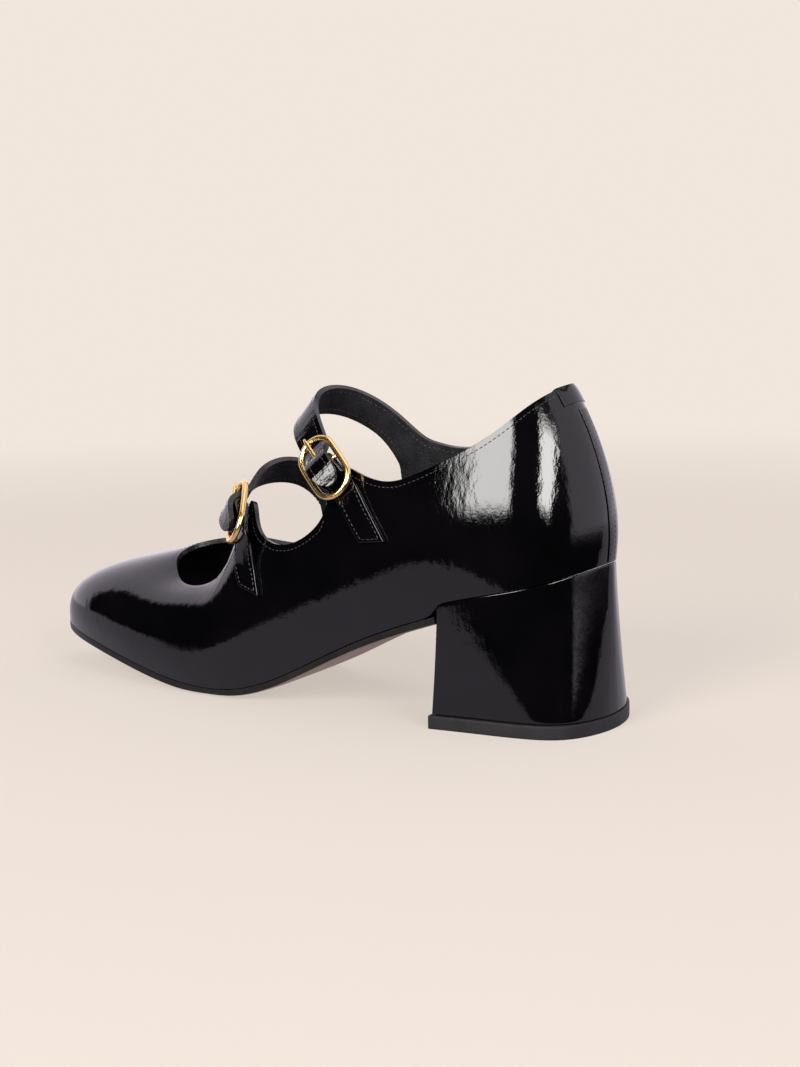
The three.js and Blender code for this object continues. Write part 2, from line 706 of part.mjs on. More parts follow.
// Prong: an eye round the bar and a straight tongue that rests on the frame's upper end.
const eyeRadius = barRadius + gap + prongRadius;
function prongGeometry(buckle, extra) {
  const frame = buckleFrame(buckle);
  const rest = wireRadius + gap + prongRadius;
  const tip = frameHalfLength + 1.4;
  const eyeSteps = 9;
  const path = [];
  for (let i = 0; i <= eyeSteps; i++) {
    const turn = THREE.MathUtils.degToRad(mix(300, 95, i / eyeSteps));
    path.push(frame.at(eyeRadius * Math.cos(turn), 0, eyeRadius * Math.sin(turn)));
  }
  path.push(frame.at(4, 0, mix(eyeRadius, rest, 0.5)));
  path.push(frame.at(frameHalfLength, 0, rest));
  path.push(frame.at(tip, 0, rest - 0.2));
  const radii = path.map((point, i) => prongRadius * (i === path.length - 1 ? 0.7 : 1) + extra);
  return rodGeometry(path, radii, frame.across, false);
}

// Flat strip through stations; each holds points across its middle plane and the outward way at each.
function stripGeometry(stationList, thickness) {
  const face = (station, side) => station.points.map((point, i) =>
    point.clone().addScaledVector(station.outs[i], (side * thickness) / 2));
  return loftGeometry(stationList.map((station) => face(station, 1).concat(face(station, -1).reverse())));
}

// Free part of each strap, from the inner ear over the instep: the middle of its outer face, and the way
// across it as a slope above the floor and a swing to the side, in degrees.
const strapRows = {
  rear: [
    { x: 90.3, y: -23.1, z: 87.8, slope: 24, swing: 0 },
    { x: 94.4, y: -21, z: 93, slope: 28, swing: -2 },
    { x: 98.8, y: -18, z: 97.8, slope: 34, swing: -2 },
    { x: 104.2, y: -13.4, z: 102.3, slope: 42, swing: 0 },
    { x: 109, y: -7.6, z: 105.2, slope: 48, swing: 0 },
    { x: 113.4, y: -1, z: 106, slope: 51, swing: 0 },
    { x: 115.4, y: 5.6, z: 104.2, slope: 51, swing: 4 },
    { x: 113.2, y: 11.8, z: 100.4, slope: 47, swing: 9 },
    { x: 109, y: 16.2, z: 96.2, slope: 43, swing: 12 },
  ],
  front: [
    { x: 126.2, y: -22.5, z: 72.4, slope: 26, swing: -6 },
    { x: 129.8, y: -19.2, z: 75.8, slope: 32, swing: -4 },
    { x: 133.2, y: -14.2, z: 78.4, slope: 40, swing: 0 },
    { x: 136, y: -8, z: 79.6, slope: 46, swing: 0 },
    { x: 138.2, y: -1.4, z: 79.4, slope: 48, swing: 0 },
    { x: 139.7, y: 5, z: 77.5, slope: 45, swing: -16 },
  ],
};
// Where each strap runs through its buckle: up the strap from the bar, out from the bar, and its width.
const strapEnd = [
  { up: frameHalfLength, out: -2.4, width: 0.9 },
  { up: 8.6, out: -1.9, width: 0.84 },
  { up: 5.8, out: 0.7, width: 0.8 },
  { up: 4.1, out: 3.5, width: 0.8 },
  { up: 2.2, out: 5.2, width: 0.8 },
  { up: 0, out: 5.8, width: 0.8 },
  { up: -3, out: 5.2, width: 0.8 },
  { up: -6, out: 3.9, width: 0.72 },
  { up: -8.2, out: 2.8, width: 0.46 },
  { up: -9.3, out: 2.2, width: 0.14 },
];
const stepsPerRow = 2;

function strapGeometry(rows, buckle) {
  const frame = buckleFrame(buckle);
  const places = rows.map((row) => {
    const slope = THREE.MathUtils.degToRad(row.slope);
    const swing = THREE.MathUtils.degToRad(row.swing);
    const level = -Math.cos(slope);
    const across = new THREE.Vector3(level * Math.cos(swing), level * Math.sin(swing), Math.sin(slope));
    return { spot: new THREE.Vector3(row.x, row.y, row.z), across, width: 1 };
  });
  for (const row of strapEnd) {
    places.push({ spot: frame.at(row.up, 0, row.out), across: frame.across, width: row.width });
  }
  const middle = new THREE.CatmullRomCurve3(places.map((place) => place.spot), false, "centripetal");
  const last = places.length - 1;
  const list = [];
  for (let i = 0; i <= last * stepsPerRow; i++) {
    const at = i / stepsPerRow;
    const row = Math.min(Math.floor(at), last - 1);
    const [from, to] = [places[row], places[row + 1]];
    const point = middle.getPoint(at / last);
    const across = from.across.clone().lerp(to.across, at - row).normalize();
    const way = middle.getTangent(at / last);
    const out = way.clone().cross(across).normalize();
    const slant = across.clone().cross(way).length();
    const half = ((strapWidth / 2) * mix(from.width, to.width, at - row)) / slant;
    const inner = point.addScaledVector(out, -strapThickness / 2);
    list.push({
      points: [-1, 0, 1].map((side) => inner.clone().addScaledVector(across, side * half)),
      outs: [out, out, out],
    });
  }
  return stripGeometry(list, strapThickness);
}

// Chapes: strips stitched to the outer quarter that fold round the buckle bars. Middle line on the quarter,
// from the lower end up, with the slope of the way across and the half width.
const chapeRows = {
  rear: [
    { x: 74.9, z: 60.9, slope: 6, half: 5 },
    { x: 77.6, z: 64.6, slope: 26, half: 4.7 },
    { x: 81.6, z: 70, slope: 36, half: 4.6 },
  ],
  front: [
    { x: 127.5, z: 40.2, slope: -16, half: 4.7 },
    { x: 129, z: 44.6, slope: 2, half: 4.6 },
    { x: 130.6, z: 49.6, slope: 12, half: 4.6 },
  ],
};
// Fold of a chape beside its buckle bar, before it wraps the bar, and after; aside is a shift to the back.
const foldBefore = [
  { up: -frameHalfLength, out: -2.15, aside: 1 },
  { up: -8, out: -2.3, aside: 0.5 },
  { up: -4, out: -2.05, aside: 0.2 },
];
const foldAfter = [
  { up: -3.4, out: 1, aside: 0.1 },
  { up: -5.2, out: 0, aside: 0.1 },
  { up: -6.4, out: -0.6, aside: 0.2 },
];

const chapeLift = gap + 0.2; // clear of the quarter, whose mesh is coarser

function chapeGeometry(rows, buckle) {
  const frame = buckleFrame(buckle);
  const shares = [1, 0.5, 0, -0.5, -1];
  const half = chapeWidth / 2;
  const list = rows.map((row) => {
    const slope = THREE.MathUtils.degToRad(row.slope);
    const points = [];
    const outs = [];
    for (const share of shares) {
      const x = row.x - share * row.half * Math.cos(slope);
      const z = row.z + share * row.half * Math.sin(slope);
      const place = placeOn({ x, z }, arcAt(x, 1), 0.7);
      const out = lastNormal(place.s, place.v);
      points.push(lastPoint(place.s, place.v).addScaledVector(out, chapeLift + chapeThickness / 2));
      outs.push(out);
    }
    return { points, outs };
  });
  const wrapRadius = barRadius + gap + chapeThickness / 2;
  const path = foldBefore.map((row) => ({ ...row }));
  const wrapSteps = 8;
  for (let i = 0; i <= wrapSteps; i++) {
    const turn = THREE.MathUtils.degToRad(mix(-90, 115, i / wrapSteps));
    path.push({ up: wrapRadius * Math.cos(turn), out: wrapRadius * Math.sin(turn), aside: 0 });
  }
  path.push(...foldAfter);
  path.forEach((row, i) => {
    const before = path[Math.max(i - 1, 0)];
    const after = path[Math.min(i + 1, path.length - 1)];
    const run = new THREE.Vector2(after.up - before.up, after.out - before.out).normalize();
    const out = frame.up.clone().multiplyScalar(-run.y).addScaledVector(frame.out, run.x);
    list.push({
      points: shares.map((share) => frame.at(row.up, row.aside + share * half, row.out)),
      outs: shares.map(() => out),
    });
  });
  const slotWidth = 2 * (prongRadius + gap);
  const slotLength = 2 * eyeRadius + 3;
  const slot = new THREE.BoxGeometry(slotWidth, slotLength, slotLength);
  const third = frame.across.clone().cross(frame.out);
  slot.applyMatrix4(new THREE.Matrix4().makeBasis(frame.across, frame.out, third));
  slot.translate(...frame.at(0.3, 0, 0).toArray());
  return cut(stripGeometry(list, chapeThickness), slot);
}

// ---------------------------------------------------------------------------------- assembly

const patent = new THREE.MeshStandardMaterial({ color: 0x0b0a0b, roughness: 0.08, metalness: 0 });
const lining = new THREE.MeshStandardMaterial({ color: 0x17161a, roughness: 0.7, metalness: 0 });
const soleEdge = new THREE.MeshStandardMaterial({ color: 0x14110f, roughness: 0.5, metalness: 0 });
const rubber = new THREE.MeshStandardMaterial({ color: 0x1d1b1e, roughness: 0.8, metalness: 0 });
const brass = new THREE.MeshStandardMaterial({ color: 0xc99a3b, roughness: 0.2, metalness: 1 });

const shoe = new THREE.Group();
function add(name, geometry, material) {
  const mesh = new THREE.Mesh(geometry, material);
  mesh.name = name;
  shoe.add(mesh);
}

add("upper", upperGeometry(), patent);
add("outsole", outsoleGeometry(), soleEdge);
add("insole", insoleGeometry(), lining);
add("heel_block", heelBlockGeometry(), patent);
add("top_lift", topLiftGeometry(), rubber);
for (const place of ["front", "rear"]) {
  const buckle = buckles[place];
  add(`strap_${place}`, cut(strapGeometry(strapRows[place], buckle), prongGeometry(buckle, gap)), patent);
  add(`chape_${place}`, chapeGeometry(chapeRows[place], buckle), patent);
  add(`buckle_frame_${place}`, frameGeometry(buckle), brass);
  add(`buckle_prong_${place}`, prongGeometry(buckle, 0), brass);
}

const box = new THREE.Box3().setFromObject(shoe);
const middle = box.getCenter(new THREE.Vector3());
shoe.position.set(-middle.x, -middle.y, -box.min.z);

export default shoe;
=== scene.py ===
import math

import bmesh
import bpy
from mathutils import Matrix, Vector
from mathutils.bvhtree import BVHTree


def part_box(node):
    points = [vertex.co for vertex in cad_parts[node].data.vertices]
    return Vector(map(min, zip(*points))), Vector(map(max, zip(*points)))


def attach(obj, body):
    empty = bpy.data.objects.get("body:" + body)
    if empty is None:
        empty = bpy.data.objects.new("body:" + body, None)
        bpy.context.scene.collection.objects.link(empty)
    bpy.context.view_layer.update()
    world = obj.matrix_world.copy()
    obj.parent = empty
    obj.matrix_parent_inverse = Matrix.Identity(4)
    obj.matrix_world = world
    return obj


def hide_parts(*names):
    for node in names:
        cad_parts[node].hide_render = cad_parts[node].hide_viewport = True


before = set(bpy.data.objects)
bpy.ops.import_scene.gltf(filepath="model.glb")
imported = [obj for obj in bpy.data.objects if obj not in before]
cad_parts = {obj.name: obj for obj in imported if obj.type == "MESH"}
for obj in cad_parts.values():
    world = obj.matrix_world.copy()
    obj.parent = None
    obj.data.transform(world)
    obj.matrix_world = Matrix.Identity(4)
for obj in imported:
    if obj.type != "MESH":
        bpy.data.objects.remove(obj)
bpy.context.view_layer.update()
mm = 0.001

liftLow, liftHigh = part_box("top_lift")
heelBack = Vector((liftLow.x, (liftLow.y + liftHigh.y) / 2, 0))


def inShoe(x, y, z):
    return heelBack + Vector((x, y, z)) * mm


# small helpers for working as by hand

def clearSelection():
    if bpy.context.object and bpy.context.object.mode != "OBJECT":
        bpy.ops.object.mode_set(mode="OBJECT")
    bpy.ops.object.select_all(action="DESELECT")


def takeUp(piece):
    clearSelection()
    piece.select_set(True)
    bpy.context.view_layer.objects.active = piece


def editOn(piece):
    takeUp(piece)
    bpy.ops.object.mode_set(mode="EDIT")
    bpy.ops.mesh.select_mode(type="FACE")
    bpy.ops.mesh.select_all(action="DESELECT")
    return bmesh.from_edit_mesh(piece.data)


def editOff():
    bpy.ops.object.mode_set(mode="OBJECT")


def applyAll(piece):
    takeUp(piece)
    for name in [modifier.name for modifier in piece.modifiers]:
        bpy.ops.object.modifier_apply(modifier=name)


def smooth(piece, levels):
    modifier = piece.modifiers.new("smooth", "SUBSURF")
    modifier.levels = modifier.render_levels = levels
    applyAll(piece)
    bpy.ops.object.shade_smooth()


def outward(piece):
    editOn(piece)
    bpy.ops.mesh.select_all(action="SELECT")
    bpy.ops.mesh.normals_make_consistent(inside=False)
    editOff()


def placeAtOrigin(piece):
    takeUp(piece)
    bpy.ops.object.transform_apply(location=True, rotation=True, scale=True)


def copyOfNode(node, name):
    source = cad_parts[node]
    piece = source.copy()
    piece.data = source.data.copy()
    piece.name = piece.data.name = name
    for key in list(piece.keys()):
        del piece[key]
    piece.parent = None
    piece.data.materials.clear()
    bpy.context.scene.collection.objects.link(piece)
    takeUp(piece)
    bpy.ops.mesh.customdata_custom_splitnormals_clear()
    editOn(piece)
    bpy.ops.mesh.select_all(action="SELECT")
    bpy.ops.mesh.remove_doubles(threshold=0.002 * mm)
    editOff()
    return piece


def newPiece(name):
    piece = bpy.context.object
    piece.name = piece.data.name = name
    return piece


# a grid whose rows are put where the rows of points say
def sheetPiece(name, rows):
    clearSelection()
    across, along = len(rows[0]), len(rows)
    bpy.ops.mesh.primitive_grid_add(x_subdivisions=across - 1, y_subdivisions=along - 1, size=1)
    piece = newPiece(name)
    for vertex, point in zip(piece.data.vertices, [point for row in rows for point in row]):
        vertex.co = point
    return piece


# a round bar along a path, with closed ends
def barPiece(name, path, radii, flat, sides=12):
    rows = []
    for i, point in enumerate(path):
        way = (path[min(i + 1, len(path) - 1)] - path[max(i - 1, 0)]).normalized()
        side = way.cross(flat).normalized()
        up = side.cross(way)
        turns = [2 * math.pi * k / sides for k in range(sides + 1)]
        rows.append([point + radii[i] * (up * math.sin(turn) + side * math.cos(turn)) for turn in turns])
    piece = sheetPiece(name, rows)
    editOn(piece)
    bpy.ops.mesh.select_all(action="SELECT")
    bpy.ops.mesh.remove_doubles(threshold=0.01 * mm)
    bpy.ops.mesh.select_all(action="DESELECT")
    bpy.ops.mesh.select_mode(type="EDGE")
    bpy.ops.mesh.select_non_manifold()
    bpy.ops.mesh.fill_holes(sides=sides + 1)
    editOff()
    outward(piece)
    return piece


# points along a smooth line through the given ones
def smoothLine(points, steps):
    line = []
    for i in range(len(points) - 1):
        before, start, end, after = (points[min(max(k, 0), len(points) - 1)] for k in range(i - 1, i + 3))
        for step in range(steps):
            f = step / steps
            line.append(0.5 * (2 * start + (end - before) * f
                               + (2 * before - 5 * start + 4 * end - after) * f ** 2
                               + (3 * start - before - 3 * end + after) * f ** 3))
    line.append(points[-1].copy())
    return line


# points and ways at even steps along a line
def evenly(points, pitch):
    spots, ways, carried = [], [], pitch / 2
    for start, end in zip(points, points[1:]):
        length = (end - start).length
        if length < 1e-9:
            continue
        while carried <= length:
            spots.append(start.lerp(end, carried / length))
            ways.append((end - start).normalized())
            carried += pitch
        carried -= length
    return spots, ways


def finishPiece(piece, slotName, *nodes):
    placeAtOrigin(piece)
    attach(piece, "root")
    if nodes:
        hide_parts(*nodes)


# finishes; every pattern is on the piece's own coordinates

def newFinish(name, colour, roughness, metallic=0.0):
    finish = bpy.data.materials.new(name)
    finish.use_nodes = True
    shader = finish.node_tree.nodes["Principled BSDF"]
    shader.inputs["Base Color"].default_value = (*colour, 1)
    shader.inputs["Roughness"].default_value = roughness
    shader.inputs["Metallic"].default_value = metallic
    return finish, finish.node_tree.nodes, finish.node_tree.links, shader


# noise on the object's own coordinates, stretched along the axes and, when turned is given, along that way
def noiseNode(nodes, links, scale, detail=2.0, stretch=(1, 1, 1), kind="ShaderNodeTexNoise", turned=None):
    place = nodes.new("ShaderNodeTexCoord")
    mapping = nodes.new("ShaderNodeMapping")
    mapping.inputs["Scale"].default_value = stretch
    if turned:
        turning = nodes.new("ShaderNodeMapping")
        turn = Vector(turned).rotation_difference(Vector((1, 0, 0)))
        turning.inputs["Rotation"].default_value = turn.to_euler()
        links.new(place.outputs["Object"], turning.inputs["Vector"])
        links.new(turning.outputs["Vector"], mapping.inputs["Vector"])
    else:
        links.new(place.outputs["Object"], mapping.inputs["Vector"])
    noise = nodes.new(kind)
    noise.inputs["Scale"].default_value = scale
    if "Detail" in noise.inputs:
        noise.inputs["Detail"].default_value = detail
    links.new(mapping.outputs["Vector"], noise.inputs["Vector"])
    return noise.outputs["Distance" if kind == "ShaderNodeTexVoronoi" else "Fac"]


# noise mostly stays between these two values
noiseLow, noiseHigh = 0.3, 0.7


def between(nodes, links, value, low, high):
    spread = nodes.new("ShaderNodeMapRange")
    spread.inputs["From Min"].default_value = noiseLow
    spread.inputs["From Max"].default_value = noiseHigh
    spread.inputs["To Min"].default_value = low
    spread.inputs["To Max"].default_value = high
    links.new(value, spread.inputs["Value"])
    return spread.outputs["Result"]


def tinted(nodes, links, value, shader, dark, light):
    ramp = nodes.new("ShaderNodeValToRGB")
    ramp.color_ramp.elements[0].position = noiseLow
    ramp.color_ramp.elements[1].position = noiseHigh
    ramp.color_ramp.elements[0].color = (*dark, 1)
    ramp.color_ramp.elements[1].color = (*light, 1)
    links.new(value, ramp.inputs["Fac"])
    links.new(ramp.outputs["Color"], shader.inputs["Base Color"])


def bumps(nodes, links, shader, layers):
    normal = None
    for value, strength, depth in layers:
        bump = nodes.new("ShaderNodeBump")
        bump.inputs["Strength"].default_value = strength
        bump.inputs["Distance"].default_value = depth * mm
        links.new(value, bump.inputs["Height"])
        if normal:
            links.new(normal, bump.inputs["Normal"])
        normal = bump.outputs["Normal"]
    links.new(normal, shader.inputs["Normal"])


patentLook = {
    "black": (0.0007, 0.0006, 0.0008), "lighter": (0.0018, 0.0015, 0.002), "gloss": (0.03, 0.075),
    "waves": 0.16, "waveDepth": 1.2, "creases": 0.16, "creaseDepth": 0.5,
    "peel": 0.1, "peelDepth": 0.15, "wrinkles": 0.34, "wrinkleDepth": 0.6,
}


# gloss black; along, when given, is the way of a strap, whose wrinkles lie across it
def patentFinish(name="patentLeather", waves=1.0, along=None):
    look = patentLook
    finish, nodes, links, shader = newFinish(name, look["black"], 0.06)
    shader.inputs["Specular IOR Level"].default_value = 0.45
    broad = noiseNode(nodes, links, 45, 1.5)
    creasy = noiseNode(nodes, links, 420, 3.0, (1, 1, 0.5))
    peel = noiseNode(nodes, links, 1500, 2.0)
    tinted(nodes, links, broad, shader, look["black"], look["lighter"])
    links.new(between(nodes, links, creasy, *look["gloss"]), shader.inputs["Roughness"])
    layers = [(broad, look["waves"] * waves, look["waveDepth"]),
              (creasy, look["creases"] * waves, look["creaseDepth"]),
              (peel, look["peel"] * waves, look["peelDepth"])]
    if along:
        wrinkles = noiseNode(nodes, links, 560, 3.0, (1, 0.16, 0.16), turned=along)
        layers.append((wrinkles, look["wrinkles"], look["wrinkleDepth"]))
    bumps(nodes, links, shader, layers)
    return finish


def liningFinish():
    finish, nodes, links, shader = newFinish("liningLeather", (0.008, 0.0075, 0.009), 0.55)
    shader.inputs["Specular IOR Level"].default_value = 0.3
    grain = noiseNode(nodes, links, 1400, kind="ShaderNodeTexVoronoi")
    wrinkle = noiseNode(nodes, links, 260, 5.0, (1, 1, 0.5))
    tinted(nodes, links, wrinkle, shader, (0.005, 0.0046, 0.0056), (0.011, 0.010, 0.012))
    links.new(between(nodes, links, wrinkle, 0.5, 0.72), shader.inputs["Roughness"])
    bumps(nodes, links, shader, [(wrinkle, 0.5, 0.6), (grain, 0.35, 0.25)])
    return finish


# a plain finish with fine grain and a broad change of tone
def plainGrain(name, dark, light, roughness, scale, depth,
               metallic=0.0, stretch=(1, 1, 1), strength=0.4, shine=0.5):
    finish, nodes, links, shader = newFinish(name, dark, roughness[0], metallic)
    shader.inputs["Specular IOR Level"].default_value = shine
    grain = noiseNode(nodes, links, scale, 4.0, stretch)
    broad = noiseNode(nodes, links, scale / 12, 2.0)
    tinted(nodes, links, broad, shader, dark, light)
    links.new(between(nodes, links, grain, *roughness), shader.inputs["Roughness"])
    bumps(nodes, links, shader, [(grain, strength, depth)])
    return finish


patent = patentFinish()
heelPatent = patentFinish("heelPatent", 0.5)
strapPatent = patentFinish("strapPatent", 1.6, (-0.72, 0.348, -0.607))
lining = liningFinish()
# darker and lighter tone, range of roughness, size of the grain, depth of the grain
edgeInk = plainGrain("edgeInk", (0.006, 0.0055, 0.006), (0.011, 0.010, 0.011),
                     (0.22, 0.34), 900, 0.08)
soleEdge = plainGrain("soleEdge", (0.004, 0.0035, 0.0035), (0.009, 0.0075, 0.007),
                      (0.3, 0.45), 700, 0.1, shine=0.2)
soleTan = plainGrain("soleTan", (0.17, 0.10, 0.048), (0.25, 0.16, 0.085),
                     (0.45, 0.62), 520, 0.15, stretch=(0.3, 1, 1))
rubber = plainGrain("heelRubber", (0.006, 0.0055, 0.006), (0.011, 0.010, 0.011),
                    (0.5, 0.65), 1100, 0.12, shine=0.25)
thread = plainGrain("waxedThread", (0.006, 0.0055, 0.0065), (0.014, 0.013, 0.015),
                    (0.3, 0.45), 2600, 0.1)
brass = plainGrain("paleBrass", (0.78, 0.51, 0.20), (0.85, 0.60, 0.27),
                   (0.2, 0.27), 420, 0.02, metallic=1.0, strength=0.05)
print("finishes ready")


# the camera: where it looks from, its lens, and the spot in the shoe that it looks at
view = {"azimuth": 210.62, "elevation": 8.57, "roll": -1.38, "distance": 640.3, "lens": 58.04,
        "x": 104.16, "y": -37.36, "z": 52.68}


def makeCamera():
    turn, lift, roll = (math.radians(view[key]) for key in ("azimuth", "elevation", "roll"))
    back = Vector((math.sin(turn) * math.cos(lift), -math.cos(turn) * math.cos(lift), math.sin(lift)))
    right = Vector((math.cos(turn), math.sin(turn), 0))
    up = back.cross(right)
    sideways = right * math.cos(roll) + up * math.sin(roll)
    upright = up * math.cos(roll) - right * math.sin(roll)
    place = inShoe(view["x"], view["y"], view["z"]) + back * view["distance"] * mm
    bpy.ops.object.camera_add(location=place)
    camera = bpy.context.object
    camera.name = "camera"
    camera.matrix_world = Matrix.Translation(place) @ Matrix((sideways, upright, back)).transposed().to_4x4()
    camera.data.lens = view["lens"]
    camera.data.sensor_width = 36
    camera.data.clip_start = 0.01
    bpy.context.scene.camera = camera
    return back


# glow and catch share the paper's tone between its own light and what falls on it; the dark sector has
# its middle at darkTurn; each dark edge of the pool is a way across it and a distance from the heel
studio = {
    "paper": (0.885, 0.795, 0.715), "glow": 0.6, "catch": 0.21,
    "floorSize": 3.0, "floorInset": 0.4, "floorNear": 0.35, "floorFar": 1.1,
    "room": (1.25, 1.15, 1.3), "dim": 0.003, "darkTurn": 86, "darkFrom": 0.14, "darkTo": 0.26,
    "pool": (0.60, 0.55, 0.63), "poolShade": 0.01, "poolEdge": 0.006, "poolReach": 0.05,
    "poolBack": (0.707, -0.707, -0.0566), "poolFront": (-0.94, -0.343, -0.265),
}


def rangeNode(nodes, links, value, low, high, toLow=0.0, toHigh=1.0):
    node = nodes.new("ShaderNodeMapRange")
    node.interpolation_type = "SMOOTHSTEP"
    for key, number in (("From Min", low), ("From Max", high), ("To Min", toLow), ("To Max", toHigh)):
        node.inputs[key].default_value = number
    links.new(value, node.inputs["Value"])
    return node.outputs["Result"]


def vectorNode(nodes, links, operation, value, other=None):
    node = nodes.new("ShaderNodeVectorMath")
    node.operation = operation
    links.new(value, node.inputs[0])
    if other is not None:
        node.inputs[1].default_value = other
    return node.outputs["Value" if operation in ("LENGTH", "DOT_PRODUCT") else "Vector"]


def mixNode(nodes, links, share, first, second):
    node = nodes.new("ShaderNodeMixShader")
    links.new(share, node.inputs["Fac"])
    links.new(first, node.inputs[1])
    links.new(second, node.inputs[2])
    return node.outputs["Shader"]


def multiplied(nodes, links, first, second):
    node = nodes.new("ShaderNodeMath")
    node.operation = "MULTIPLY"
    links.new(first, node.inputs[0])
    links.new(second, node.inputs[1])
    return node.outputs["Value"]


def glowNode(nodes, colour, strength):
    node = nodes.new("ShaderNodeEmission")
    node.inputs["Color"].default_value = (*colour, 1)
    node.inputs["Strength"].default_value = strength
    return node


# pale paper that takes a soft shadow; the gloss sees a lit patch round the shoe instead, dark past either
# of its edges on the near side, and lit all over on the far side
def makeFloor(back):
    clearSelection()
    bpy.ops.mesh.primitive_circle_add(vertices=96, radius=studio["floorSize"], fill_type="NGON")
    floor = newPiece("floor")
    editOn(floor)
    bpy.ops.mesh.select_all(action="SELECT")
    bpy.ops.mesh.inset(thickness=studio["floorSize"] * studio["floorInset"])
    editOff()
    caught = [tone * studio["catch"] for tone in studio["paper"]]
    finish, nodes, links, shader = newFinish("paperFloor", caught, 0.9)
    shader.inputs["Specular IOR Level"].default_value = 0.0
    shader.inputs["Emission Color"].default_value = (*studio["paper"], 1)
    shader.inputs["Emission Strength"].default_value = studio["glow"]
    place = nodes.new("ShaderNodeTexCoord").outputs["Object"]
    away = vectorNode(nodes, links, "LENGTH", place)
    fade = rangeNode(nodes, links, away, studio["floorNear"], studio["floorFar"])
    clear = nodes.new("ShaderNodeBsdfTransparent").outputs["BSDF"]
    fromHeel = vectorNode(nodes, links, "SUBTRACT", place, heelBack)
    edge = studio["poolEdge"]
    shares = []
    for x, y, start in (studio["poolBack"], studio["poolFront"]):
        across = vectorNode(nodes, links, "DOT_PRODUCT", fromHeel, (x, y, 0))
        shares.append(rangeNode(nodes, links, across, start - edge, start + edge))
    pool = multiplied(nodes, links, *shares)
    level = Vector((back.x, back.y, 0)).normalized()
    towards = vectorNode(nodes, links, "DOT_PRODUCT", place, level)
    front = rangeNode(nodes, links, towards, 0.0, studio["poolReach"])
    shade = multiplied(nodes, links, rangeNode(nodes, links, pool, 0, 1, 1, 0), front)
    bright = glowNode(nodes, studio["pool"], 1.0).outputs["Emission"]
    dark = glowNode(nodes, studio["pool"], studio["poolShade"]).outputs["Emission"]
    inGloss = mixNode(nodes, links, shade, bright, dark)
    ray = nodes.new("ShaderNodeLightPath")
    surface = mixNode(nodes, links, ray.outputs["Is Camera Ray"], inGloss, shader.outputs["BSDF"])
    links.new(mixNode(nodes, links, fade, surface, clear), nodes["Material Output"].inputs["Surface"])
    floor.data.materials.append(finish)


# a pale room with a dim sector on the outer side; what is seen past the floor is plain paper
def makeRoom():
    world = bpy.data.worlds.new("studioRoom")
    bpy.context.scene.world = world
    world.use_nodes = True
    nodes, links = world.node_tree.nodes, world.node_tree.links
    place = nodes.new("ShaderNodeTexCoord").outputs["Generated"]
    turn = math.radians(studio["darkTurn"])
    level = vectorNode(nodes, links, "NORMALIZE", vectorNode(nodes, links, "MULTIPLY", place, (1, 1, 0)))
    facing = vectorNode(nodes, links, "DOT_PRODUCT", level, (math.cos(turn), math.sin(turn), 0))
    towards = rangeNode(nodes, links, facing, studio["darkFrom"], studio["darkTo"])
    pale = nodes["Background"]
    pale.inputs["Color"].default_value = (*studio["room"], 1)
    dim = nodes.new("ShaderNodeBackground")
    dim.inputs["Strength"].default_value = studio["dim"]
    paper = nodes.new("ShaderNodeBackground")
    paper.inputs["Color"].default_value = (*studio["paper"], 1)
    room = mixNode(nodes, links, towards, pale.outputs["Background"], dim.outputs["Background"])
    ray = nodes.new("ShaderNodeLightPath").outputs["Is Camera Ray"]
    seen = mixNode(nodes, links, ray, room, paper.outputs["Background"])
    links.new(seen, nodes["World Output"].inputs["Surface"])


# soft boxes: the way to each from the shoe, its distance, its size, how it leans, and how soft its edges are
softBoxes = {
    "wideBox": {"turn": 83, "rise": 24, "away": 1.5, "width": 0.95, "height": 1.15,
                "tilt": 0, "glow": 16, "soft": 0.8},
    "stripBox": {"turn": 147, "rise": 22, "away": 1.5, "width": 0.42, "height": 1.2,
                 "tilt": -34, "glow": 20, "soft": 0.9},
    "topBox": {"turn": 250, "rise": 78, "away": 1.8, "width": 2.2, "height": 2.2,
               "tilt": 0, "glow": 1.6, "soft": 1.0},
}
boxTone = (1, 0.985, 0.97)
boxTarget = (110, 0, 50)


def makeLights():
    centre = inShoe(*boxTarget)
    for name, box in softBoxes.items():
        turn, rise = math.radians(box["turn"]), math.radians(box["rise"])
        way = Vector((math.cos(turn) * math.cos(rise), math.sin(turn) * math.cos(rise), math.sin(rise)))
        clearSelection()
        bpy.ops.mesh.primitive_plane_add(size=1)
        card = newPiece(name)
        editOn(card)
        bpy.ops.mesh.select_all(action="SELECT")
        bpy.ops.mesh.subdivide(number_cuts=3)
        editOff()
        finish, nodes, links = newFinish(name, (0, 0, 0), 1)[:3]
        place = nodes.new("ShaderNodeTexCoord").outputs["Object"]
        parts = nodes.new("ShaderNodeSeparateXYZ")
        links.new(place, parts.inputs["Vector"])
        shares = []
        for axis in ("X", "Y"):
            size = nodes.new("ShaderNodeMath")
            size.operation = "ABSOLUTE"
            links.new(parts.outputs[axis], size.inputs[0])
            solid = 0.5 - box["soft"] / 4
            shares.append(rangeNode(nodes, links, size.outputs["Value"], solid, 0.5, 1, 0))
        strength = multiplied(nodes, links, *shares)
        glow = glowNode(nodes, boxTone, box["glow"])
        none = glowNode(nodes, (0, 0, 0), 0)
        surface = mixNode(nodes, links, strength, none.outputs["Emission"], glow.outputs["Emission"])
        links.new(surface, nodes["Material Output"].inputs["Surface"])
        card.data.materials.append(finish)
        card.scale = (box["width"], box["height"], 1)
        card.rotation_euler = (way.to_track_quat("Z", "Y")
                               @ Matrix.Rotation(math.radians(box["tilt"]), 3, "Z").to_quaternion()).to_euler()
        card.location = centre + way * box["away"]
        card.visible_camera = False


cameraBack = makeCamera()
makeFloor(cameraBack)
makeRoom()
makeLights()
bpy.context.scene.view_settings.view_transform = "Standard"
print("camera, floor and light ready")


